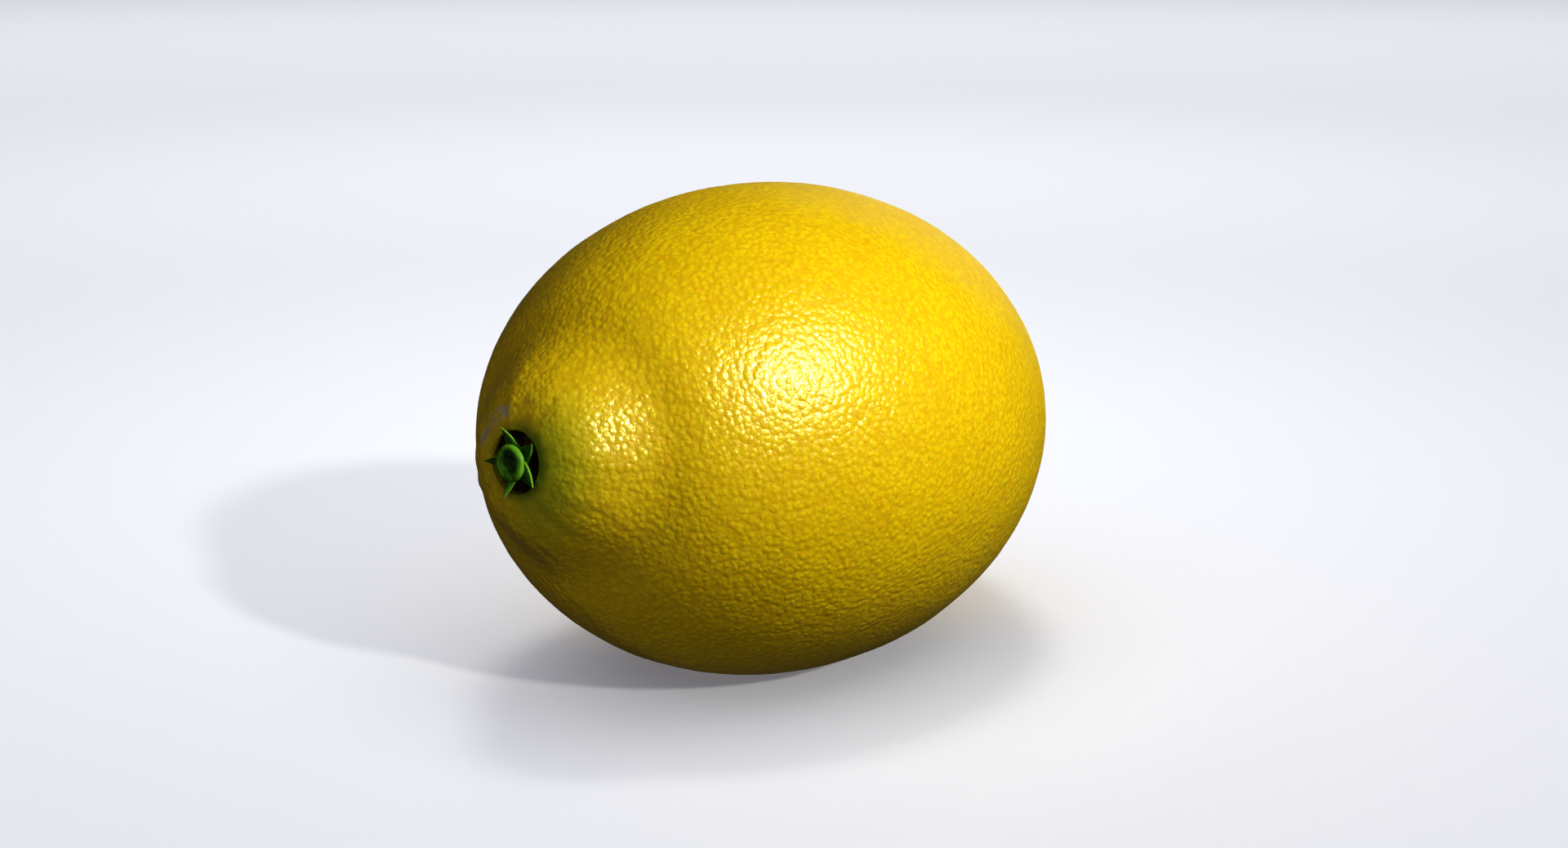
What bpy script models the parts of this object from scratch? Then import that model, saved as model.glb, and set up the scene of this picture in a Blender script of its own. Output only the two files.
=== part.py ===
"""A whole lemon lying on its side: the fruit, the cut stub of its stem in the pit at the stem end,
and the five sepals round the stub.

Metres, +Z up. The origin is the middle of the small flat spot that the fruit rests on. The stem end
points along -X and is tipped slightly upwards. Each piece is modelled on the fruit's own axis, whose
-X end is the stem end, and an empty that holds them all tips and lifts them into place.
"""

import math

import bmesh
import bpy
from mathutils import Matrix, Vector

MM = 0.001

# The fruit: an oval with a raised neck at its stem end and a nipple at its blossom end. Each half of
# the oval has its own length from the equator. A fullness of 2 is a true oval or a soft swelling, and
# more makes a blunter end or a flatter crown with steeper sides.
EQUATOR_DIAMETER = 60.0 * MM
STEM_HALF_LENGTH = 39.9 * MM
STEM_HALF_FULLNESS = 2.2
BLOSSOM_HALF_LENGTH = 41.6 * MM
NECK_HEIGHT = 4.5 * MM  # of the neck's crown, above the oval
NECK_RADIUS = 11.8 * MM
NECK_FULLNESS = 4.6
GROOVE_OFFSET = 1.0 * MM  # of the shallow groove round the neck, out from the neck's radius
GROOVE_DEPTH = 0.9 * MM
GROOVE_WIDTH = 3.0 * MM
NIPPLE_HEIGHT = 4.6 * MM
NIPPLE_RADIUS = 8.2 * MM
NIPPLE_FULLNESS = 2.4
NIPPLE_LEAN = 1.1 * MM  # its tip stands this far to one side of the axis
STYLE_SCAR_RADIUS = 1.6 * MM
STYLE_SCAR_DEPTH = 0.5 * MM

# How it lies.
STEM_END_TILT = math.radians(5)
REST_SPOT_DEPTH = 0.4 * MM  # how much of the round underside the flat spot takes off

# The pit that the stem sits in. Its wall is centred on PIT_RADIUS.
PIT_RADIUS = 3.15 * MM
PIT_WALL_SPREAD = 0.45 * MM
PIT_DEPTH = 2.4 * MM

# The stub of the stem: a waist in the pit, and a round head with a dished cut end.
STUB_HEAD_RADIUS = 1.92 * MM
STUB_HEAD_THICKNESS = 0.75 * MM
STUB_WAIST_RADIUS = 1.25 * MM
STUB_RISE = 1.0 * MM  # of the head's rim, above the rim of the pit
STUB_DISH_RADIUS = 1.2 * MM
STUB_DISH_DEPTH = 0.35 * MM

# The sepals: pointed blades that stand out from the waist and pass over the rim of the pit.
SEPAL_COUNT = 5
SEPAL_TIP_RADIUS = 3.96 * MM
SEPAL_WIDTH = 1.35 * MM  # where it leaves the waist
SEPAL_THICKNESS = 0.32 * MM
SEPAL_KEEL = 0.2  # how far the middle hangs below the edges, as a share of the thickness
TIP_WIDTH_SHARE = 0.07
TIP_THICKNESS_SHARE = 0.4
SEPAL_TIP_CURL = 0.12 * MM  # of the tip, above the straight line over the lip of the pit
SEPAL_TURN = math.radians(21.9)  # of the first sepal, from straight up

GAP = 0.3 * MM  # between pieces that touch
MERGE = 0.001 * MM

# How finely the round shapes are divided: round the axis, then in rings from the pit's floor to the
# tip of the nipple. The neck and the nipple ease into the oval at their feet.
FRUIT_SEGMENTS = 56
STUB_SEGMENTS = 32
PIT_FLOOR_RINGS = 3
PIT_WALL_RINGS = 6
NECK_RINGS = 15
STEM_HALF_RINGS = 9
BLOSSOM_HALF_RINGS = 9
NIPPLE_RINGS = 10
STYLE_SCAR_RINGS = 3
NECK_FOOT_RADIUS = 1.7 * NECK_RADIUS
NIPPLE_FOOT_RADIUS = 1.8 * NIPPLE_RADIUS

EQUATOR_RADIUS = EQUATOR_DIAMETER / 2
PIT_FLOOR_RADIUS = PIT_RADIUS - PIT_WALL_SPREAD
PIT_LIP_RADIUS = PIT_RADIUS + PIT_WALL_SPREAD


def oval(radius, half_length, fullness=2.0):
    """How far one half of the oval reaches from the equator, at this distance from the axis."""
    return half_length * math.sqrt(max(0.0, 1 - (radius / EQUATOR_RADIUS) ** fullness))


def swelling(radius, height, reach, fullness):
    return height * math.exp(-((radius / reach) ** fullness))


def hollow(radius, depth, inner, outer):
    """A round hollow: full depth inside the inner radius, easing to nothing at the outer one."""
    share = min(1.0, max(0.0, (radius - inner) / (outer - inner)))
    return depth * (1 + math.cos(math.pi * share)) / 2


def crown(radius):
    """How far the stem end reaches, with the pit left out."""
    body = oval(radius, STEM_HALF_LENGTH, STEM_HALF_FULLNESS)
    neck = swelling(radius, NECK_HEIGHT, NECK_RADIUS, NECK_FULLNESS)
    from_groove = abs(radius - NECK_RADIUS - GROOVE_OFFSET)
    return body + neck - swelling(from_groove, GROOVE_DEPTH, GROOVE_WIDTH, 2)


def stem_end(radius):
    return crown(radius) - hollow(radius, PIT_DEPTH, PIT_FLOOR_RADIUS, PIT_LIP_RADIUS)


def blossom_end(radius):
    body = oval(radius, BLOSSOM_HALF_LENGTH)
    nipple = swelling(radius, NIPPLE_HEIGHT, NIPPLE_RADIUS, NIPPLE_FULLNESS)
    return body + nipple - hollow(radius, STYLE_SCAR_DEPTH, 0, STYLE_SCAR_RADIUS)


PIT_RIM = crown(PIT_RADIUS)  # how far from the fruit's middle the rim of the pit stands
PIT_FLOOR = stem_end(0)


def span(start, end, steps):
    """Evenly spaced values after start, up to and with end."""
    return [start + (end - start) * step / steps for step in range(1, steps + 1)]


def angle_at(radius):
    """The angle on the oval, from its stem end, at this distance from the axis."""
    return math.asin(radius / EQUATOR_RADIUS)


def fruit_profile():
    """Points (along the axis, out from it) from the pit's floor to the tip of the nipple."""
    half_turn = math.pi / 2
    pit_floor = angle_at(PIT_FLOOR_RADIUS)
    pit_lip = angle_at(PIT_LIP_RADIUS)
    neck_foot = angle_at(NECK_FOOT_RADIUS)
    nipple_foot = angle_at(NIPPLE_FOOT_RADIUS)
    stem_half = [0.0]
    stem_half += span(0, pit_floor, PIT_FLOOR_RINGS)
    stem_half += span(pit_floor, pit_lip, PIT_WALL_RINGS)
    stem_half += span(pit_lip, neck_foot, NECK_RINGS)
    stem_half += span(neck_foot, half_turn, STEM_HALF_RINGS)
    blossom_half = span(half_turn, nipple_foot, BLOSSOM_HALF_RINGS)
    blossom_half += span(nipple_foot, angle_at(STYLE_SCAR_RADIUS), NIPPLE_RINGS)
    blossom_half += span(angle_at(STYLE_SCAR_RADIUS), 0, STYLE_SCAR_RINGS)
    points = []
    for angle in stem_half:
        radius = EQUATOR_RADIUS * math.sin(angle)
        points.append((-stem_end(radius), radius))
    for angle in blossom_half:
        radius = EQUATOR_RADIUS * math.sin(angle)
        points.append((blossom_end(radius), radius))
    return points


def turned(points, segments):
    """A closed mesh: the profile, from axis to axis, turned about the X axis."""
    bm = bmesh.new()
    verts = [bm.verts.new((along, 0, radius)) for along, radius in points]
    edges = [bm.edges.new(pair) for pair in zip(verts, verts[1:])]
    bmesh.ops.spin(
        bm,
        geom=verts + edges,
        cent=(0, 0, 0),
        axis=(1, 0, 0),
        angle=math.tau,
        steps=segments,
        use_merge=True,
    )
    bmesh.ops.remove_doubles(bm, verts=bm.verts, dist=MERGE)
    bmesh.ops.recalc_face_normals(bm, faces=bm.faces)
    return bm


def lean_nipple(bm):
    """Sets the nipple's tip to one side, as it grows on most fruits."""
    for vert in bm.verts:
        if vert.co.x > 0:
            radius = math.hypot(vert.co.y, vert.co.z)
            share = swelling(radius, 1, NIPPLE_RADIUS, NIPPLE_FULLNESS)
            vert.co.y += NIPPLE_LEAN * share
            vert.co.z += NIPPLE_LEAN * share / 2


def resting_place():
    """The matrix that tips the fruit, stem end up, and sets its lowest point at the origin.

    The tip brings the lowest point into the oval's blossom half. The flat spot is taken off there.
    """
    along = BLOSSOM_HALF_LENGTH * math.sin(STEM_END_TILT)
    down = EQUATOR_RADIUS * math.cos(STEM_END_TILT)
    reach = math.hypot(along, down)
    lowest = Vector((BLOSSOM_HALF_LENGTH * along / reach, 0, -EQUATOR_RADIUS * down / reach))
    tip = Matrix.Rotation(STEM_END_TILT, 4, "Y")
    place = -(tip @ lowest)
    place.z -= REST_SPOT_DEPTH
    return Matrix.Translation(place) @ tip


def cut_rest_spot(bm, place):
    """Takes off what would lie below the surface, and closes the cut with one flat face."""
    to_fruit = place.inverted()
    geometry = bm.verts[:] + bm.edges[:] + bm.faces[:]
    cut = bmesh.ops.bisect_plane(
        bm,
        geom=geometry,
        dist=MERGE,
        plane_co=to_fruit @ Vector((0, 0, 0)),
        plane_no=to_fruit.to_3x3() @ Vector((0, 0, -1)),
        clear_outer=True,
    )
    rim = [item for item in cut["geom_cut"] if isinstance(item, bmesh.types.BMEdge)]
    bmesh.ops.holes_fill(bm, edges=rim, sides=len(rim))
    bmesh.ops.recalc_face_normals(bm, faces=bm.faces)


def stub_profile():
    """Points (along the axis, out from it) from the stub's foot to the middle of its cut end."""
    foot = PIT_FLOOR + GAP
    top = PIT_RIM + STUB_RISE
    under = top - STUB_HEAD_THICKNESS
    rounding = STUB_HEAD_THICKNESS / 2
    points = [(-foot, 0.0), (-foot, STUB_WAIST_RADIUS), (-under, STUB_WAIST_RADIUS)]
    for angle in [math.radians(-90)] + span(math.radians(-90), math.radians(90), 8):
        along = under + rounding + rounding * math.sin(angle)
        radius = STUB_HEAD_RADIUS - rounding + rounding * math.cos(angle)
        points.append((-along, radius))
    dish_edge = STUB_DISH_RADIUS
    for radius in span(dish_edge, 0, 4):
        along = top - hollow(radius, STUB_DISH_DEPTH, 0, dish_edge)
        points.append((-along, radius))
    return points


def sepal_section(share):
    """One closed loop of points across the blade, share of the way from its foot to its tip.

    The blade starts below the stub's head and rises in a line that clears the lip of the pit.
    """
    foot_radius = STUB_WAIST_RADIUS + GAP
    foot = PIT_RIM + STUB_RISE - STUB_HEAD_THICKNESS - GAP - SEPAL_THICKNESS / 2
    over_lip = crown(PIT_LIP_RADIUS) + GAP + SEPAL_THICKNESS / 2
    slope = (over_lip - foot) / (PIT_LIP_RADIUS - foot_radius)
    out = (SEPAL_TIP_RADIUS - foot_radius) * share
    radius = foot_radius + out
    along = foot + slope * out + SEPAL_TIP_CURL * share**2
    thickness = SEPAL_THICKNESS * (1 - (1 - TIP_THICKNESS_SHARE) * share)
    half_width = SEPAL_WIDTH / 2 * (1 - (1 - TIP_WIDTH_SHARE) * share)
    keel = thickness * SEPAL_KEEL
    across = ((-1, 0.5, 0), (0, 0.5, -1), (1, 0.5, 0), (1, -0.5, 0), (0, -0.5, -1), (-1, -0.5, 0))
    return [
        Vector((-(along + thickness * level + keel * sag), half_width * side, radius))
        for side, level, sag in across
    ]


def sepal_mesh(stations=7):
    """A blade that stands up along +Z from the axis: sections joined side to side, ends closed."""
    bm = bmesh.new()
    loops = []
    for step in range(stations):
        corners = [bm.verts.new(point) for point in sepal_section(step / (stations - 1))]
        loops.append([bm.edges.new(pair) for pair in zip(corners, corners[1:] + corners[:1])])
    for loop, following in zip(loops, loops[1:]):
        bmesh.ops.bridge_loops(bm, edges=loop + following)
    bmesh.ops.holes_fill(bm, edges=loops[0] + loops[-1], sides=6)
    bmesh.ops.recalc_face_normals(bm, faces=bm.faces)
    return bm


def clear_scene():
    for obj in list(bpy.data.objects):
        bpy.data.objects.remove(obj, do_unlink=True)


def material(name, color, roughness):
    made = bpy.data.materials.new(name)
    made.use_nodes = True
    shader = made.node_tree.nodes["Principled BSDF"]
    shader.inputs["Base Color"].default_value = (*color, 1)
    shader.inputs["Roughness"].default_value = roughness
    shader.inputs["Metallic"].default_value = 0.0
    made.diffuse_color = (*color, 1)
    return made


def add_piece(name, bm, finish, holder):
    mesh = bpy.data.meshes.new(name)
    bmesh.ops.triangulate(bm, faces=bm.faces)
    bm.to_mesh(mesh)
    bm.free()
    mesh.shade_smooth()
    mesh.set_sharp_from_angle(angle=math.radians(40))
    mesh.materials.append(finish)
    piece = bpy.data.objects.new(name, mesh)
    piece.parent = holder
    bpy.context.scene.collection.objects.link(piece)
    return piece


def build_lemon():
    clear_scene()
    peel = material("lemon_peel", (0.83, 0.55, 0.01), 0.4)
    stem_green = material("stem_green", (0.05, 0.19, 0.01), 0.6)
    sepal_green = material("sepal_green", (0.02, 0.11, 0.01), 0.6)

    place = resting_place()
    holder = bpy.data.objects.new("lemon", None)
    holder.matrix_world = place
    bpy.context.scene.collection.objects.link(holder)

    fruit = turned(fruit_profile(), FRUIT_SEGMENTS)
    lean_nipple(fruit)
    cut_rest_spot(fruit, place)
    add_piece("fruit", fruit, peel, holder)

    add_piece("stem_stub", turned(stub_profile(), STUB_SEGMENTS), stem_green, holder)

    for number in range(SEPAL_COUNT):
        sepal = add_piece(f"sepal_{number + 1}", sepal_mesh(), sepal_green, holder)
        sepal.rotation_euler.x = -(SEPAL_TURN + number * math.tau / SEPAL_COUNT)


build_lemon()
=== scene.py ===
"""A whole lemon at rest on a pale floor: peel with oil glands, stem pit, green stub and calyx star."""

from math import atan2, cos, radians, sin

import bmesh
import bpy
from mathutils import Matrix, Vector, noise


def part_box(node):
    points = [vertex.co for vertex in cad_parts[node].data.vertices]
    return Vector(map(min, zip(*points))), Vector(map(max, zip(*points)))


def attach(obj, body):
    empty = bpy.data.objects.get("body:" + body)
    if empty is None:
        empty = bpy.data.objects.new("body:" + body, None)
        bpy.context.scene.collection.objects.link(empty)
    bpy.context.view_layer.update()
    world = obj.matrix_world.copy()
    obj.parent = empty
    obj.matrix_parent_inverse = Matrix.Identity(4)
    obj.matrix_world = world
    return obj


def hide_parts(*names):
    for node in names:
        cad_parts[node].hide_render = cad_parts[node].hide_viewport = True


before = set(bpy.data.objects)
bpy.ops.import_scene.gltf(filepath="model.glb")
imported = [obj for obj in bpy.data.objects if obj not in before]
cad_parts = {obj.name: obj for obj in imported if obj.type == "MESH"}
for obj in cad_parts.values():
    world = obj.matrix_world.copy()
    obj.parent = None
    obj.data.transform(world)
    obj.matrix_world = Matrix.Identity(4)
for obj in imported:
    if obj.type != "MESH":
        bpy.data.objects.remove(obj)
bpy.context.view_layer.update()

# The fruit's own axis. All lengths are in metres. The stem end leans up by STEM_TILT.
STEM_TILT = radians(5)
STEM_DIRECTION = Vector((-cos(STEM_TILT), 0, sin(STEM_TILT)))
STUB_TO_HEART = 0.0436     # from the middle of the stub to the widest section
SEAM_RADIUS = 0.00425      # the peel's glands start outside this, the pit's rim lies inside
LIP_RADIUS = 0.00362       # outer edge of the smooth lip round the pit
STYLE_RIM = 0.0004         # the blossom end's rim lies within this of its farthest point

# The peel's relief.
GLAND_SPACING = 0.00086
CREASE_DEPTH = 0.00004
GLAND_CROWN = 0.66         # share of a gland's width that its raised top takes
GLAND_LIFT = 0.95          # share of a crease's depth that a gland's top rises back
DENT_DEPTH = 0.00008
FURROW_DEPTH = 0.00022
PEEL_SEED = 7
SKIN_ROUNDING = 2          # levels of subdivision of the fruit's own mesh

# Where the peel changes near the stem: the distance off the stem axis at which each change starts,
# then the one at which it is complete.
STEM_HALF = (0.028, 0.036)         # along the axis from the heart, for colours
STEM_END = (0.030, 0.040)          # along the axis from the heart, for relief
CALM_RELIEF = (0.0042, 0.0085)
FURROW_RISE = (0.0036, 0.0060)
FURROW_FADE = (0.0150, 0.0070)
GREEN_RING = (0.0120, 0.0045)
DARK_RING = (0.0050, 0.0036)
BARK_EDGE = (0.00355, 0.0033)
SMOOTH_RING = (0.0065, 0.004)
NECK_GLOSS = (0.017, 0.011)
GREEN_SIDE = (0.0, -0.97, -0.2)    # the side of the pit with the most green

# The ragged wall of the pit.
PIT_WALL_RADIUS = 0.0035
PIT_SHRINK = 0.00008
PIT_LUMPS = ((1400, 0.00012), (3500, 0.00005))

# A healed scar beside the pit, in a ring square to the stem axis. Its middle is turned from straight
# up towards +Y by SCAR_TURN.
SCAR_TURN = radians(50)
SCAR_RADIUS = 0.0058
SCAR_HALF_WIDTH = (0.0011, 0.0004)
SCAR_REACH = (0.82, 0.90)          # cosine of the angle from its middle

# The round scar at the blossom end, and the green blush round it.
STYLE_EDGE = (0.0026, 0.0020)
STYLE_RAGGEDNESS = 0.0016
BLOSSOM_BLUSH = (0.0090, 0.0020)

# The stub and the calyx blades.
STUB_DENTS = 900
STUB_DENT_DEPTH = 0.00014
STUB_SWELL = 0.08
STUB_SWELL_REACH = 0.0015
WHORL_REACH = 0.0014
WHORL_DEPTH = 0.00012
WHORL_TWIST = 5200                 # radians to a metre off the axis
BLADE_ROOT = 0.0011
BLADE_WIDTH = 0.0019
BLADE_TIP_WIDTH = 0.00008
BLADE_THICKNESS = 0.00042
BLADE_SAG = 0.00015
BLADE_DROP = (0.0001, 0.00012)     # below the CAD blade at the root and at the tip
BLADE_STEPS = 10
BLADE_ROUGHNESS = 0.00003
BLADE_OUTLINE = (
    (-1, 0.8), (-0.55, 1), (0, 1.25), (0.55, 1), (1, 0.8), (1, -0.8), (0.4, -1), (-0.4, -1), (-1, -0.8),
)

# Colours, as linear red, green, blue and opacity.
DEEP_YELLOW = (0.94, 0.64, 0.001, 1)
BRIGHT_YELLOW = (0.99, 0.69, 0.001, 1)
ORANGE_FLECK = (0.86, 0.42, 0.001, 1)
LIME_FLECK = (0.72, 0.60, 0.002, 1)
DULL_GLAND = (0.80, 0.50, 0.001, 1)
# Painted shade: the yellow is painted darker between the pebbles and down each gland's creases.
PAINTED_SHADE_BETWEEN_PEBBLES = (0.78, 0.46, 0.001, 1)
CREASE_SHADE = (0.74, 0.42, 0.001, 1)
UNRIPE_GREEN = (0.27, 0.40, 0.003, 1)
DARK_GREEN = (0.10, 0.16, 0.004, 1)
BLUSH_GREEN = (0.45, 0.48, 0.003, 1)
STYLE_BROWN = (0.16, 0.075, 0.018, 1)
SCAR_GREY = (0.50, 0.46, 0.38, 1)
BARK_DARK = (0.018, 0.010, 0.004, 1)
BARK_RUST = (0.11, 0.045, 0.012, 1)
STUB_HEART_DARK = (0.010, 0.055, 0.002, 1)
STUB_HEART_PALE = (0.04, 0.13, 0.004, 1)
STUB_RIM = (0.088, 0.27, 0.006, 1)
BLADE_DARK = (0.018, 0.080, 0.002, 1)
BLADE_GREEN = (0.045, 0.155, 0.004, 1)
# Painted highlight: the blades' thin flanks are painted a paler green, as if lit edge-on.
PAINTED_FLANK_HIGHLIGHT = (0.14, 0.40, 0.010, 1)
FLOOR_COOL = (0.78, 0.79, 0.80, 1)
FLOOR_PALE = (0.80, 0.80, 0.80, 1)

# The camera.
CAMERA_TURN = radians(-51.38)
CAMERA_HEIGHT_ANGLE = radians(12.77)
CAMERA_DISTANCE = 0.2674
CAMERA_AIM = (radians(0.31), radians(-0.06))
CAMERA_TARGET = Vector((-0.00226, 0, 0.0297))
SENSOR = 36
LENS = 50

# The floor, and soft pools of light on it: name, distance ahead of the fruit, height, power in watts,
# spread in degrees and softness.
FLOOR_RADIUS = 12.0
FLOOR_POOLS = (
    ("near_pool", 0.10, 0.8, 9.3, 30, 0.12),
    ("middle_pool", 0.50, 1.2, 14.0, 42, 0.2),
    ("far_pool", 1.70, 2.2, 46.0, 84, 0.35),
)
KEY_LIGHT = (47.5, 34.5)           # degrees to the right of the camera, and up
KEY_DISTANCE = 0.8


def box_middle(name):
    low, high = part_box(name)
    return (Vector(low) + Vector(high)) / 2


SQUARE_UP = Vector((sin(STEM_TILT), 0, cos(STEM_TILT)))
SCAR_DIRECTION = SQUARE_UP * cos(SCAR_TURN) + Vector((0, 1, 0)) * sin(SCAR_TURN)
STUB_MIDDLE = box_middle("stem_stub")
HEART = STUB_MIDDLE - STEM_DIRECTION * STUB_TO_HEART


# --- small helpers -----------------------------------------------------------------------------


def add_step(tree, kind, wires=None, **settings):
    """One node, its settings, and what each of its inputs is wired to or set to."""
    made = tree.nodes.new(kind)
    for name, value in settings.items():
        setattr(made, name, value)
    for socket, value in (wires or {}).items():
        target = made.inputs[socket]
        if isinstance(value, bpy.types.NodeSocket):
            tree.links.new(value, target)
        else:
            target.default_value = value
    return made


def maths(tree, operation, *values):
    made = tree.nodes.new("ShaderNodeMath")
    made.operation = operation
    for target, value in zip(made.inputs, values):
        if isinstance(value, bpy.types.NodeSocket):
            tree.links.new(value, target)
        else:
            target.default_value = value
    return made.outputs[0]


def vectors(tree, operation, *values, scale=None):
    made = tree.nodes.new("ShaderNodeVectorMath")
    made.operation = operation
    for target, value in zip(made.inputs, values):
        if isinstance(value, bpy.types.NodeSocket):
            tree.links.new(value, target)
        else:
            target.default_value = value
    if scale is not None:
        if isinstance(scale, bpy.types.NodeSocket):
            tree.links.new(scale, made.inputs["Scale"])
        else:
            made.inputs["Scale"].default_value = scale
    return made.outputs["Value" if operation in ("DOT_PRODUCT", "LENGTH", "DISTANCE") else "Vector"]


def ramp_between(tree, value, start, end, low=0.0, high=1.0):
    """Goes smoothly from low to high as value goes from start to end."""
    made = add_step(tree, "ShaderNodeMapRange", interpolation_type="SMOOTHSTEP")
    tree.links.new(value, made.inputs["Value"])
    for socket, number in zip(("From Min", "From Max", "To Min", "To Max"), (start, end, low, high)):
        made.inputs[socket].default_value = number
    return made.outputs["Result"]


def welded_copy(node, name):
    """The CAD node's mesh as a new object, its loose triangles joined."""
    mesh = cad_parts[node].data.copy()
    mesh.materials.clear()
    work = bmesh.new()
    work.from_mesh(mesh)
    bmesh.ops.remove_doubles(work, verts=work.verts, dist=1e-6)
    bmesh.ops.join_triangles(
        work,
        faces=work.faces,
        angle_face_threshold=radians(25),
        angle_shape_threshold=radians(40),
    )
    for face in work.faces:
        face.smooth = True
    work.to_mesh(mesh)
    work.free()
    made = bpy.data.objects.new(name, mesh)
    bpy.context.scene.collection.objects.link(made)
    return made


def evaluated_mesh(made):
    """The object's mesh with its modifiers applied."""
    graph = bpy.context.evaluated_depsgraph_get()
    return bpy.data.meshes.new_from_object(made.evaluated_get(graph), depsgraph=graph)


def smoothed(made, levels):
    finish = made.modifiers.new("smooth", "SUBSURF")
    finish.levels = finish.render_levels = levels
    mesh = evaluated_mesh(made)
    made.modifiers.clear()
    made.data = mesh
    return made


def along_stem(point):
    return (point - HEART).dot(STEM_DIRECTION)


def off_axis(point):
    out = point - HEART
    return (out - STEM_DIRECTION * out.dot(STEM_DIRECTION)).length


def blossom_tip():
    """The middle of the small round scar at the blossom end."""
    points = [vert.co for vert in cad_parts["fruit"].data.vertices]
    farthest = min(along_stem(point) for point in points)
    rim = [point for point in points if along_stem(point) < farthest + STYLE_RIM]
    return sum(rim, Vector()) / len(rim)


BLOSSOM_TIP = blossom_tip()


# --- peel --------------------------------------------------------------------------------------


def peel_inputs(tree):
    sockets = (
        ("Geometry", "NodeSocketGeometry", None),
        ("gland spacing", "NodeSocketFloat", GLAND_SPACING),
        ("crease depth", "NodeSocketFloat", CREASE_DEPTH),
        ("gland crown", "NodeSocketFloat", GLAND_CROWN),
        ("dent depth", "NodeSocketFloat", DENT_DEPTH),
        ("furrow depth", "NodeSocketFloat", FURROW_DEPTH),
        ("seam radius", "NodeSocketFloat", SEAM_RADIUS),
        ("heart", "NodeSocketVector", HEART),
        ("stem direction", "NodeSocketVector", STEM_DIRECTION),
        ("seed", "NodeSocketInt", PEEL_SEED),
        ("peel", "NodeSocketMaterial", None),
    )
    for name, kind, value in sockets:
        made = tree.interface.new_socket(name=name, in_out="INPUT", socket_type=kind)
        if value is not None:
            made.default_value = value
    tree.interface.new_socket(name="Geometry", in_out="OUTPUT", socket_type="NodeSocketGeometry")


def axis_fields(tree, given, position):
    """Distance along the stem axis from the heart, and off that axis."""
    out = vectors(tree, "SUBTRACT", position, given["heart"])
    along = vectors(tree, "DOT_PRODUCT", out, given["stem direction"])
    on_axis = vectors(tree, "SCALE", given["stem direction"], scale=along)
    away = vectors(tree, "SUBTRACT", out, on_axis)
    return along, vectors(tree, "LENGTH", away), vectors(tree, "NORMALIZE", away)


def scatter_glands(tree, given, skin):
    """Evenly spaced gland centres, joined into one closed net of cells round the heart."""
    gland_area = maths(tree, "MULTIPLY", given["gland spacing"], given["gland spacing"])
    density = maths(tree, "DIVIDE", 3.5, gland_area)
    points = add_step(tree, "GeometryNodeDistributePointsOnFaces", {
        "Mesh": skin,
        "Distance Min": given["gland spacing"],
        "Density Max": density,
        "Seed": given["seed"],
    }, distribute_method="POISSON")
    position = add_step(tree, "GeometryNodeInputPosition").outputs[0]
    ray = vectors(tree, "NORMALIZE", vectors(tree, "SUBTRACT", position, given["heart"]))
    ball = add_step(tree, "GeometryNodeSetPosition", {
        "Geometry": points.outputs["Points"],
        "Position": ray,
    })
    hull = add_step(tree, "GeometryNodeConvexHull", {"Geometry": ball.outputs[0]})
    evened = add_step(tree, "GeometryNodeBlurAttribute", {"Iterations": 1}, data_type="FLOAT_VECTOR")
    tree.links.new(add_step(tree, "GeometryNodeInputPosition").outputs[0], evened.inputs["Value"])
    relaxed = add_step(tree, "GeometryNodeSetPosition", {
        "Geometry": hull.outputs[0],
        "Position": vectors(tree, "NORMALIZE", evened.outputs[0]),
    })
    return add_step(tree, "GeometryNodeDualMesh", {"Mesh": relaxed.outputs[0]}).outputs[0]


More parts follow.
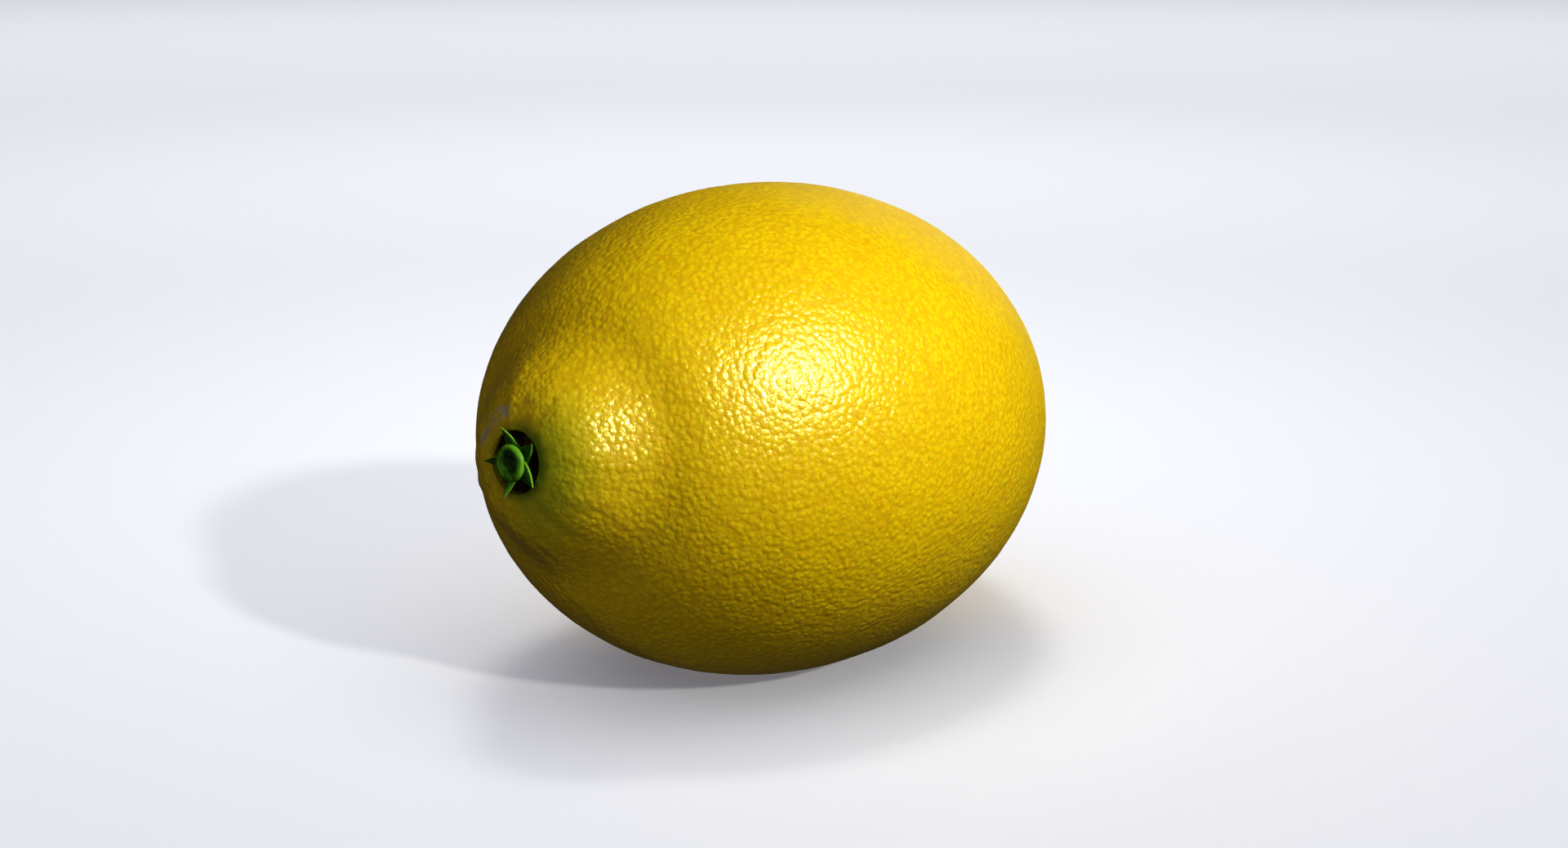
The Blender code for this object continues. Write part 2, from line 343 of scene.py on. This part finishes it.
def lay_on_skin(tree, given, cells, skin):
    """Moves the net's corners out to the skin, then down by creases, dents and furrows."""
    position = add_step(tree, "GeometryNodeInputPosition").outputs[0]
    normal = add_step(tree, "GeometryNodeInputNormal").outputs[0]
    hit = add_step(tree, "GeometryNodeRaycast", {
        "Target Geometry": skin,
        "Attribute": normal,
        "Source Position": given["heart"],
        "Ray Direction": vectors(tree, "NORMALIZE", position),
        "Ray Length": 0.2,
    }, data_type="FLOAT_VECTOR")
    on_skin = hit.outputs["Hit Position"]
    along, away, out = axis_fields(tree, given, on_skin)
    stem_side = ramp_between(tree, along, *STEM_END)
    near_pit = ramp_between(tree, away, *CALM_RELIEF, 0.35, 1.0)
    calm = maths(tree, "MAXIMUM", near_pit, maths(tree, "SUBTRACT", 1.0, stem_side))
    patches = add_step(tree, "ShaderNodeTexNoise", {"Vector": on_skin, "Scale": 750.0, "Detail": 1.0})
    strength = ramp_between(tree, patches.outputs[0], 0.35, 0.65, 0.4, 1.2)
    crease = maths(tree, "MULTIPLY", maths(tree, "MULTIPLY", given["crease depth"], strength), calm)
    dents = add_step(tree, "ShaderNodeTexNoise", {"Vector": on_skin, "Scale": 150.0, "Detail": 0.4})
    dent = maths(tree, "MULTIPLY", ramp_between(tree, dents.outputs[0], 0.75, 0.25), given["dent depth"])
    spokes = add_step(tree, "ShaderNodeTexNoise", {
        "Vector": vectors(tree, "ADD", out, vectors(tree, "SCALE", on_skin, scale=18.0)),
        "Scale": 3.4,
        "Detail": 1.0,
    })
    rim = ramp_between(tree, away, *FURROW_RISE)
    fading = ramp_between(tree, away, *FURROW_FADE)
    reach = maths(tree, "MULTIPLY", maths(tree, "MULTIPLY", rim, fading), stem_side)
    groove = ramp_between(tree, spokes.outputs[0], 0.62, 0.38)
    furrow = maths(tree, "MULTIPLY", maths(tree, "MULTIPLY", groove, given["furrow depth"]), reach)
    shift = maths(tree, "ADD", maths(tree, "ADD", crease, dent), furrow)
    inward = vectors(tree, "SCALE", hit.outputs["Attribute"], scale=maths(tree, "MULTIPLY", shift, -1.0))
    laid = add_step(tree, "GeometryNodeSetPosition", {
        "Geometry": cells,
        "Position": vectors(tree, "ADD", on_skin, inward),
    })
    kept = add_step(tree, "GeometryNodeStoreNamedAttribute", {
        "Geometry": laid.outputs[0],
        "Name": "crease",
        "Value": crease,
    }, data_type="FLOAT", domain="POINT")
    return kept.outputs[0]


def open_the_pit(tree, given, peel):
    """Takes out the cells inside the seam at the stem end."""
    position = add_step(tree, "GeometryNodeInputPosition").outputs[0]
    along, away, _ = axis_fields(tree, given, position)
    inside = maths(tree, "LESS_THAN", away, given["seam radius"])
    at_stem = maths(tree, "GREATER_THAN", along, 0.0)
    doomed = maths(tree, "MULTIPLY", inside, at_stem)
    cut = add_step(tree, "GeometryNodeDeleteGeometry", {
        "Geometry": peel,
        "Selection": doomed,
    }, domain="POINT")
    return cut.outputs[0]


def raise_glands(tree, given, peel):
    """Each cell gets a smaller top, lifted back to the skin: a rounded pebble with creases round it."""
    tint = add_step(tree, "FunctionNodeRandomValue", {"Seed": given["seed"]}, data_type="FLOAT")
    tinted = add_step(tree, "GeometryNodeStoreNamedAttribute", {
        "Geometry": peel,
        "Name": "gland_tint",
    }, data_type="FLOAT", domain="FACE")
    tree.links.new(tint.outputs[1], tinted.inputs["Value"])
    crease = add_step(tree, "GeometryNodeInputNamedAttribute", {"Name": "crease"}, data_type="FLOAT")
    lifted = add_step(tree, "GeometryNodeExtrudeMesh", {
        "Mesh": tinted.outputs[0],
        "Offset Scale": maths(tree, "MULTIPLY", crease.outputs[0], GLAND_LIFT),
        "Individual": True,
    }, mode="FACES")
    narrowed = add_step(tree, "GeometryNodeScaleElements", {
        "Geometry": lifted.outputs["Mesh"],
        "Selection": lifted.outputs["Top"],
        "Scale": given["gland crown"],
    }, domain="FACE")
    marked = add_step(tree, "GeometryNodeStoreNamedAttribute", {
        "Geometry": narrowed.outputs[0],
        "Name": "gland_top",
        "Value": lifted.outputs["Top"],
    }, data_type="FLOAT", domain="POINT")
    return marked.outputs[0]


def peel_tree():
    tree = bpy.data.node_groups.new("peel_glands", "GeometryNodeTree")
    peel_inputs(tree)
    given = add_step(tree, "NodeGroupInput").outputs
    rounded = add_step(tree, "GeometryNodeSubdivisionSurface", {
        "Mesh": given["Geometry"],
        "Level": SKIN_ROUNDING,
    })
    skin = rounded.outputs[0]
    cells = scatter_glands(tree, given, skin)
    peel = lay_on_skin(tree, given, cells, skin)
    peel = open_the_pit(tree, given, peel)
    peel = raise_glands(tree, given, peel)
    soft = add_step(tree, "GeometryNodeSetShadeSmooth", {"Geometry": peel})
    whole = add_step(tree, "GeometryNodeRealizeInstances", {"Geometry": soft.outputs[0]})
    coated = add_step(tree, "GeometryNodeSetMaterial", {
        "Geometry": whole.outputs[0],
        "Material": given["peel"],
    })
    last = add_step(tree, "NodeGroupOutput")
    tree.links.new(coated.outputs[0], last.inputs[0])
    return tree


def set_input(modifier, name, value):
    for item in modifier.node_group.interface.items_tree:
        if item.item_type == "SOCKET" and item.in_out == "INPUT" and item.name == name:
            modifier[item.identifier] = value


def pit_lining(name):
    """The stem pit and its lip, cut from the fruit's own smooth mesh, with a slightly ragged rim."""
    lining = smoothed(welded_copy("fruit", name), SKIN_ROUNDING)
    work = bmesh.new()
    work.from_mesh(lining.data)
    far = [v for v in work.verts if along_stem(v.co) < STEM_END[0] or off_axis(v.co) > LIP_RADIUS]
    bmesh.ops.delete(work, geom=far, context="VERTS")
    for vert in work.verts:
        if off_axis(vert.co) > PIT_WALL_RADIUS:
            continue
        rough = sum(noise.noise(vert.co * scale) * depth for scale, depth in PIT_LUMPS)
        vert.co += vert.normal * (rough - PIT_SHRINK)
    work.to_mesh(lining.data)
    work.free()
    return lining


def close_seam(peel, lining):
    """Joins the glands' ragged inner edge to the lip of the pit with a strip of faces."""
    work = bmesh.new()
    work.from_mesh(peel.data)
    work.from_mesh(lining.data)
    loose = [edge for edge in work.edges if not edge.link_faces]
    bmesh.ops.delete(work, geom=loose, context="EDGES")
    rims = [edge for edge in work.edges if edge.is_boundary]
    bmesh.ops.bridge_loops(work, edges=rims)
    bmesh.ops.triangulate(work, faces=[face for face in work.faces if len(face.verts) > 4])
    for face in work.faces:
        face.smooth = True
    bmesh.ops.recalc_face_normals(work, faces=work.faces)
    work.to_mesh(peel.data)
    work.free()
    bpy.data.objects.remove(lining)


def make_peel(material):
    peel = welded_copy("fruit", "peel")
    grain = peel.modifiers.new("glands", "NODES")
    grain.node_group = peel_tree()
    set_input(grain, "peel", material)
    peel.update_tag()
    mesh = evaluated_mesh(peel)
    peel.modifiers.clear()
    peel.data = mesh
    lining = pit_lining("pit_lining")
    close_seam(peel, lining)
    peel.data.materials.clear()
    peel.data.materials.append(material)
    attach(peel, "root")
    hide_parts("fruit")
    return peel


# --- stub and calyx ----------------------------------------------------------------------------


def make_stub(material):
    """A smooth copy of the CAD stub, dented a little, with a swollen head."""
    stub = smoothed(welded_copy("stem_stub", "stub"), 1)
    for vert in stub.data.vertices:
        coarse = noise.noise(vert.co * STUB_DENTS)
        fine = noise.noise(vert.co * STUB_DENTS * 2.7)
        vert.co -= vert.normal * max(0.0, coarse * 0.7 + fine * 0.3 + 0.1) * STUB_DENT_DEPTH
    swell_stub(stub)
    stub.data.materials.append(material)
    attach(stub, "root")
    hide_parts("stem_stub")
    return stub


def swell_stub(stub):
    """Rounds the head out a little, square to the stem, and presses a whorl into its dish."""
    for vert in stub.data.vertices:
        out = vert.co - HEART
        along = STEM_DIRECTION * out.dot(STEM_DIRECTION)
        away = out - along
        reach = away.length
        vert.co = HEART + along + away * (1 + STUB_SWELL * min(1.0, reach / STUB_SWELL_REACH))
        turn = atan2(away.y, away.z)
        whorl = 0.5 + 0.5 * cos(2 * turn + reach * WHORL_TWIST)
        inside = max(0.0, 1 - reach / WHORL_REACH)
        vert.co -= STEM_DIRECTION * whorl * inside * WHORL_DEPTH


def blade_section(root, tip, across, share):
    """The ring of points round a blade at this share of its length: a thick strip with square flanks."""
    middle = root.lerp(tip, share)
    width = BLADE_WIDTH / 2 * (1 - share ** 1.15) + BLADE_TIP_WIDTH / 2
    thick = BLADE_THICKNESS / 2 * (1 - 0.55 * share)
    lift = STEM_DIRECTION * (BLADE_SAG * (4 * share * (share - 1)))
    return [middle + lift + across * (width * x) + STEM_DIRECTION * (thick * y) for x, y in BLADE_OUTLINE]


def make_blade(number, material):
    """A pointed calyx blade in the CAD blade's place, rooted under the stub's head."""
    node = f"sepal_{number}"
    points = [vert.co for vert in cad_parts[node].data.vertices]
    tip = max(points, key=off_axis)
    inner = min(points, key=off_axis)
    out = tip - HEART - STEM_DIRECTION * along_stem(tip)
    out.normalize()
    across = STEM_DIRECTION.cross(out)
    root_drop, tip_drop = BLADE_DROP
    root = HEART + STEM_DIRECTION * (along_stem(inner) - root_drop) + out * BLADE_ROOT
    end = HEART + STEM_DIRECTION * (along_stem(tip) - tip_drop) + out * off_axis(tip)
    work = bmesh.new()
    flank = work.verts.layers.float.new("flank")
    rings = []
    for step in range(BLADE_STEPS + 1):
        section = blade_section(root, end, across, step / BLADE_STEPS)
        rings.append([work.verts.new(point) for point in section])
        # Flank marks each blade's side faces, which the blade material paints paler as a painted
        # highlight.
        for vert, (sideways, _) in zip(rings[-1], BLADE_OUTLINE):
            vert[flank] = float(abs(sideways) == 1)
    count = len(rings[0])
    for near, far in zip(rings, rings[1:]):
        for side in range(count):
            after = (side + 1) % count
            work.faces.new((near[side], near[after], far[after], far[side]))
    work.faces.new(rings[0])
    work.faces.new(rings[-1])
    bmesh.ops.recalc_face_normals(work, faces=work.faces)
    for face in work.faces:
        face.smooth = True
    mesh = bpy.data.meshes.new(f"calyx_blade_{number}")
    work.to_mesh(mesh)
    work.free()
    blade = bpy.data.objects.new(f"calyx_blade_{number}", mesh)
    bpy.context.scene.collection.objects.link(blade)
    edge = blade.modifiers.new("flanks", "BEVEL")
    edge.width = 0.00003
    edge.segments = 2
    edge.limit_method = "ANGLE"
    edge.angle_limit = radians(50)
    smoothed(blade, 1)
    for vert in blade.data.vertices:
        vert.co += vert.normal * noise.noise(vert.co * 2600) * BLADE_ROUGHNESS
    blade.data.materials.append(material)
    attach(blade, "root")
    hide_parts(node)
    return blade


# --- materials ---------------------------------------------------------------------------------


def new_material(name):
    made = bpy.data.materials.new(name)
    made.use_nodes = True
    made.node_tree.nodes.clear()
    shader = add_step(made.node_tree, "ShaderNodeBsdfPrincipled")
    last = add_step(made.node_tree, "ShaderNodeOutputMaterial")
    made.node_tree.links.new(shader.outputs[0], last.inputs["Surface"])
    return made, made.node_tree, shader


def colour_mix(tree, share, below, above, blend="MIX"):
    made = add_step(tree, "ShaderNodeMix", data_type="RGBA", blend_type=blend)
    for socket, value in ((made.inputs[0], share), (made.inputs[6], below), (made.inputs[7], above)):
        if isinstance(value, bpy.types.NodeSocket):
            tree.links.new(value, socket)
        else:
            socket.default_value = value
    return made.outputs[2]


def cloud(tree, where, scale, detail=2.0, roughness=0.5):
    made = add_step(tree, "ShaderNodeTexNoise", {
        "Vector": where,
        "Scale": scale,
        "Detail": detail,
        "Roughness": roughness,
    })
    return made.outputs[0]


def stem_fields(tree, where):
    """Distance along and off the stem axis, and the direction away from it, for a shader."""
    out = vectors(tree, "SUBTRACT", where, HEART)
    along = vectors(tree, "DOT_PRODUCT", out, STEM_DIRECTION)
    away = vectors(tree, "SUBTRACT", out, vectors(tree, "SCALE", STEM_DIRECTION, scale=along))
    return along, vectors(tree, "LENGTH", away), vectors(tree, "NORMALIZE", away)


def peel_yellow(tree, where, pebbles):
    """Two yellows in soft patches, flecked with orange and lime, with painted shade between the pebbles
    and in the creases.
    """
    patches = ramp_between(tree, cloud(tree, where, 90.0, 3.0), 0.35, 0.65)
    yellow = colour_mix(tree, patches, DEEP_YELLOW, BRIGHT_YELLOW)
    round_the_fruit = add_step(tree, "ShaderNodeMapping", {"Vector": where, "Scale": (1.0, 0.5, 0.5)})
    stretched = round_the_fruit.outputs[0]
    orange = ramp_between(tree, cloud(tree, stretched, 1500.0, 2.0), 0.52, 0.68)
    yellow = colour_mix(tree, maths(tree, "MULTIPLY", orange, 0.70), yellow, ORANGE_FLECK)
    lime = ramp_between(tree, cloud(tree, stretched, 1900.0, 2.0), 0.42, 0.28)
    yellow = colour_mix(tree, maths(tree, "MULTIPLY", lime, 0.55), yellow, LIME_FLECK)
    tint = add_step(tree, "ShaderNodeAttribute", attribute_name="gland_tint").outputs["Fac"]
    yellow = colour_mix(tree, maths(tree, "MULTIPLY", tint, 0.12), yellow, DULL_GLAND)
    # Painted shade: darker yellow where the pebbles' bump is low, between them.
    between = ramp_between(tree, pebbles, 0.30, 0.60)
    yellow = colour_mix(tree, maths(tree, "MULTIPLY", between, 0.60), yellow, PAINTED_SHADE_BETWEEN_PEBBLES)
    # Painted shade: the creases round each raised gland top are painted darker.
    top = add_step(tree, "ShaderNodeAttribute", attribute_name="gland_top").outputs["Fac"]
    crease = maths(tree, "SUBTRACT", 1.0, top)
    return colour_mix(tree, maths(tree, "MULTIPLY", crease, 0.12), yellow, CREASE_SHADE)


def unripe_rings(tree, skin, away, out, stem_side):
    """A green blush round the pit, wider on one side, and a dark ring at its lip."""
    towards = vectors(tree, "DOT_PRODUCT", out, GREEN_SIDE)
    side = ramp_between(tree, towards, -0.2, 0.9, 0.15, 1.0)
    ring = ramp_between(tree, away, *GREEN_RING)
    green = maths(tree, "MULTIPLY", maths(tree, "MULTIPLY", ring, side), stem_side)
    skin = colour_mix(tree, maths(tree, "MULTIPLY", green, 0.72), skin, UNRIPE_GREEN)
    dark = maths(tree, "MULTIPLY", ramp_between(tree, away, *DARK_RING), stem_side)
    dark = maths(tree, "MULTIPLY", dark, ramp_between(tree, towards, -0.6, 0.6, 0.35, 0.9))
    return colour_mix(tree, dark, skin, DARK_GREEN)


def blossom_scar(tree, skin, where):
    """A faint green blush and a small brown scar at the blossom end."""
    from_tip = vectors(tree, "LENGTH", vectors(tree, "SUBTRACT", where, BLOSSOM_TIP))
    blush = maths(tree, "MULTIPLY", ramp_between(tree, from_tip, *BLOSSOM_BLUSH), 0.16)
    skin = colour_mix(tree, blush, skin, BLUSH_GREEN)
    ragged = maths(tree, "MULTIPLY_ADD", cloud(tree, where, 1300.0, 3.0), STYLE_RAGGEDNESS, from_tip)
    return colour_mix(tree, ramp_between(tree, ragged, *STYLE_EDGE), skin, STYLE_BROWN)


def healed_scar(tree, skin, where, away, out, stem_side):
    """A pale, patchy arc beside the pit."""
    from_arc = maths(tree, "ABSOLUTE", maths(tree, "SUBTRACT", away, SCAR_RADIUS))
    width = ramp_between(tree, from_arc, *SCAR_HALF_WIDTH)
    reach = ramp_between(tree, vectors(tree, "DOT_PRODUCT", out, SCAR_DIRECTION), *SCAR_REACH)
    patchy = ramp_between(tree, cloud(tree, where, 1100.0, 3.0), 0.36, 0.56)
    scar = maths(tree, "MULTIPLY", maths(tree, "MULTIPLY", reach, width), stem_side)
    scar = maths(tree, "MULTIPLY", scar, patchy)
    return colour_mix(tree, maths(tree, "MULTIPLY", scar, 0.7), skin, SCAR_GREY)


def pit_bark(tree, skin, where, away, stem_side):
    """The dark corky wall of the pit."""
    rust = ramp_between(tree, cloud(tree, where, 1700.0, 3.0), 0.4, 0.65)
    bark = colour_mix(tree, rust, BARK_DARK, BARK_RUST)
    pit = maths(tree, "MULTIPLY", ramp_between(tree, away, *BARK_EDGE), stem_side)
    return colour_mix(tree, pit, skin, bark)


def peel_relief(tree, where, away, stem_side, pebbles):
    """Fine pebbles and wrinkles, fading out at the lip of the pit."""
    wrinkles = cloud(tree, where, 3200.0, 2.0, 0.5)
    height = maths(tree, "SUBTRACT", maths(tree, "MULTIPLY", wrinkles, 0.5), pebbles)
    at_lip = maths(tree, "MULTIPLY", stem_side, ramp_between(tree, away, *SMOOTH_RING))
    height = maths(tree, "MULTIPLY", height, maths(tree, "SUBTRACT", 1.0, at_lip))
    bump = add_step(tree, "ShaderNodeBump", {"Height": height, "Strength": 1.0, "Distance": 0.00011})
    return bump.outputs[0]


def peel_material():
    made, tree, shader = new_material("lemon_peel")
    where = add_step(tree, "ShaderNodeTexCoord").outputs["Object"]
    along, away, out = stem_fields(tree, where)
    stem_side = ramp_between(tree, along, *STEM_HALF)
    pebbles = add_step(tree, "ShaderNodeTexVoronoi", {
        "Vector": where,
        "Scale": 1450.0,
        "Smoothness": 0.3,
    }, feature="SMOOTH_F1").outputs["Distance"]
    skin = peel_yellow(tree, where, pebbles)
    skin = unripe_rings(tree, skin, away, out, stem_side)
    skin = blossom_scar(tree, skin, where)
    skin = healed_scar(tree, skin, where, away, out, stem_side)
    skin = pit_bark(tree, skin, where, away, stem_side)
    tree.links.new(skin, shader.inputs["Base Color"])
    shader.inputs["Roughness"].default_value = 0.29
    shader.inputs["Specular Tint"].default_value = (1.0, 0.93, 0.32, 1)
    neck = maths(tree, "MULTIPLY", stem_side, ramp_between(tree, away, *NECK_GLOSS))
    tree.links.new(maths(tree, "MULTIPLY_ADD", neck, 0.4, 0.5), shader.inputs["Specular IOR Level"])
    relief = peel_relief(tree, where, away, stem_side, pebbles)
    tree.links.new(relief, shader.inputs["Normal"])
    return made


def fine_bump(tree, where, scale):
    bump = add_step(tree, "ShaderNodeBump", {
        "Height": cloud(tree, where, scale, 3.0),
        "Strength": 0.6,
        "Distance": 0.0001,
    })
    return bump.outputs[0]


def stub_material():
    made, tree, shader = new_material("stem_green")
    where = add_step(tree, "ShaderNodeTexCoord").outputs["Object"]
    _, away, _ = stem_fields(tree, where)
    rim = ramp_between(tree, away, 0.0011, 0.0017)
    blotch = ramp_between(tree, cloud(tree, where, 1500.0, 3.0), 0.4, 0.6)
    heart = colour_mix(tree, blotch, STUB_HEART_DARK, STUB_HEART_PALE)
    green = colour_mix(tree, rim, heart, STUB_RIM)
    tree.links.new(green, shader.inputs["Base Color"])
    shader.inputs["Roughness"].default_value = 0.5
    shader.inputs["Specular IOR Level"].default_value = 0.25
    tree.links.new(fine_bump(tree, where, 3000.0), shader.inputs["Normal"])
    return made


def sepal_material():
    made, tree, shader = new_material("sepal_green")
    where = add_step(tree, "ShaderNodeTexCoord").outputs["Object"]
    blotch = ramp_between(tree, cloud(tree, where, 900.0, 3.0), 0.4, 0.6)
    green = colour_mix(tree, blotch, BLADE_DARK, BLADE_GREEN)
    # Painted highlight: the flanks get a paler green, as if lit edge-on.
    flank = add_step(tree, "ShaderNodeAttribute", attribute_name="flank").outputs["Fac"]
    pale = ramp_between(tree, flank, 0.55, 0.95)
    green = colour_mix(tree, maths(tree, "MULTIPLY", pale, 0.8), green, PAINTED_FLANK_HIGHLIGHT)
    tree.links.new(green, shader.inputs["Base Color"])
    shader.inputs["Roughness"].default_value = 0.55
    shader.inputs["Specular IOR Level"].default_value = 0.25
    tree.links.new(fine_bump(tree, where, 3500.0), shader.inputs["Normal"])
    return made


def floor_material():
    made, tree, shader = new_material("pale_floor")
    where = add_step(tree, "ShaderNodeTexCoord").outputs["Object"]
    tone = colour_mix(tree, cloud(tree, where, 3.0, 2.0), FLOOR_COOL, FLOOR_PALE)
    tree.links.new(tone, shader.inputs["Base Color"])
    shader.inputs["Roughness"].default_value = 0.7
    return made


# --- stage -------------------------------------------------------------------------------------


def make_floor():
    work = bmesh.new()
    bmesh.ops.create_circle(work, cap_ends=True, segments=96, radius=FLOOR_RADIUS)
    mesh = bpy.data.meshes.new("floor")
    work.to_mesh(mesh)
    work.free()
    mesh.materials.append(floor_material())
    made = bpy.data.objects.new("floor", mesh)
    bpy.context.scene.collection.objects.link(made)
    made.visible_diffuse = False
    made.visible_glossy = False
    return made


def camera_frame():
    """Turns the camera's own right, ahead and up into the world's axes."""
    return Matrix.Rotation(CAMERA_TURN, 3, "Z")


def light_towards(side, height):
    """Direction to a light, side degrees to the right of the camera and height degrees up."""
    side = radians(side)
    height = radians(height)
    direction = Vector((sin(side) * cos(height), -cos(side) * cos(height), sin(height)))
    return camera_frame() @ direction


def only_lights(lamp, things):
    group = bpy.data.collections.new("lit_by_" + lamp.name)
    for thing in things:
        group.objects.link(thing)
    lamp.light_linking.receiver_collection = group


def add_lamp(name, kind, direction, place, power, colour, things, **settings):
    """A lamp at place whose light comes from direction and falls only on things."""
    data = bpy.data.lights.new(name, kind)
    data.energy = power
    data.color = colour
    for setting, value in settings.items():
        setattr(data, setting, value)
    made = bpy.data.objects.new(name, data)
    made.location = place
    made.rotation_euler = direction.to_track_quat("Z", "Y").to_euler()
    made.visible_camera = False
    bpy.context.scene.collection.objects.link(made)
    only_lights(made, things)
    return made


def light_the_fruit(things):
    """A gloss light, a near lamp that shapes the body, and soft fills from the left and behind."""
    towards = light_towards(*KEY_LIGHT)
    place = HEART + towards * KEY_DISTANCE
    glint = add_lamp("glint_lamp", "AREA", towards, place, 21.5, (1.0, 0.97, 0.88), things,
                     shape="DISK", size=0.13)
    glint.visible_diffuse = False
    towards = light_towards(53, 38)
    near = add_lamp("shaping_lamp", "AREA", towards, HEART + towards * 0.24, 0.595, (1.0, 0.99, 0.95),
                    things, shape="DISK", size=0.12)
    near.visible_glossy = False
    left = light_towards(-30, 8)
    fill = add_lamp("fill_lamp", "SUN", left, HEART, 0.5, (1.0, 0.97, 0.85), things, angle=radians(160))
    fill.visible_glossy = False
    behind = light_towards(168, 5)
    back = add_lamp("back_lamp", "SUN", behind, HEART, 7.5, (1.0, 0.98, 0.88), things, angle=radians(34))
    back.visible_glossy = False


def light_the_calyx(things):
    towards = light_towards(*KEY_LIGHT)
    place = HEART + towards * KEY_DISTANCE
    add_lamp("calyx_lamp", "AREA", towards, place, 9.0, (1.0, 0.98, 0.92), things, shape="DISK", size=0.05)
    left = light_towards(-20, 25)
    add_lamp("calyx_fill", "SUN", left, HEART, 0.30, (1.0, 1.0, 0.9), things, angle=radians(120))


def light_the_floor(things):
    """One low sun for the long shadow, a broad sky for the contact shadow, and pools of light."""
    low_sun = light_towards(38.2, 26.6)
    add_lamp("shadow_lamp", "SUN", low_sun, HEART, 1.5, (1.0, 0.98, 0.94), things, angle=radians(3.5))
    sky = light_towards(0, 62)
    add_lamp("dome_lamp", "SUN", sky, HEART, 1.93, (0.94, 0.965, 1.06), things, angle=radians(80))
    up = Vector((0, 0, 1))
    add_lamp("wash_lamp", "SUN", up, HEART, 0.55, (0.93, 0.965, 1.17), things, use_shadow=False)
    ahead = camera_frame() @ Vector((0, 1, 0))
    for name, distance, height, power, spread, softness in FLOOR_POOLS:
        place = HEART + ahead * distance + up * height
        add_lamp(name, "SPOT", up, place, power, (1.0, 0.99, 0.96), things,
                 spot_size=radians(spread), spot_blend=1.0, shadow_soft_size=softness)


def make_world():
    world = bpy.data.worlds.new("studio")
    bpy.context.scene.world = world
    world.use_nodes = True
    tree = world.node_tree
    tree.nodes.clear()
    soft = add_step(tree, "ShaderNodeBackground", {"Color": (0.90, 0.93, 1.0, 1), "Strength": 0.015})
    seen = add_step(tree, "ShaderNodeBackground", {"Color": (0.72, 0.78, 0.86, 1), "Strength": 1.0})
    path = add_step(tree, "ShaderNodeLightPath")
    both = add_step(tree, "ShaderNodeMixShader")
    tree.links.new(path.outputs["Is Camera Ray"], both.inputs[0])
    tree.links.new(soft.outputs[0], both.inputs[1])
    tree.links.new(seen.outputs[0], both.inputs[2])
    last = add_step(tree, "ShaderNodeOutputWorld")
    tree.links.new(both.outputs[0], last.inputs["Surface"])


def make_camera():
    data = bpy.data.cameras.new("camera")
    data.lens = LENS
    data.sensor_width = SENSOR
    data.clip_start = 0.01
    data.clip_end = 100
    made = bpy.data.objects.new("camera", data)
    turn = camera_frame()
    height = CAMERA_HEIGHT_ANGLE
    made.location = CAMERA_TARGET + turn @ Vector((0, -cos(height), sin(height))) * CAMERA_DISTANCE
    yaw, dip = CAMERA_AIM
    pitch = height + dip
    forward = turn @ Vector((sin(yaw) * cos(pitch), cos(yaw) * cos(pitch), -sin(pitch)))
    made.rotation_euler = forward.to_track_quat("-Z", "Y").to_euler()
    bpy.context.scene.collection.objects.link(made)
    bpy.context.scene.camera = made


def main():
    make_camera()
    make_world()
    peel = make_peel(peel_material())
    calyx = [make_stub(stub_material())]
    leaf = sepal_material()
    calyx += [make_blade(number, leaf) for number in range(1, 6)]
    floor = make_floor()
    light_the_fruit([peel])
    light_the_calyx(calyx)
    light_the_floor([floor])
    scene = bpy.context.scene
    scene.view_settings.view_transform = "Standard"
    scene.view_settings.look = "None"


main()
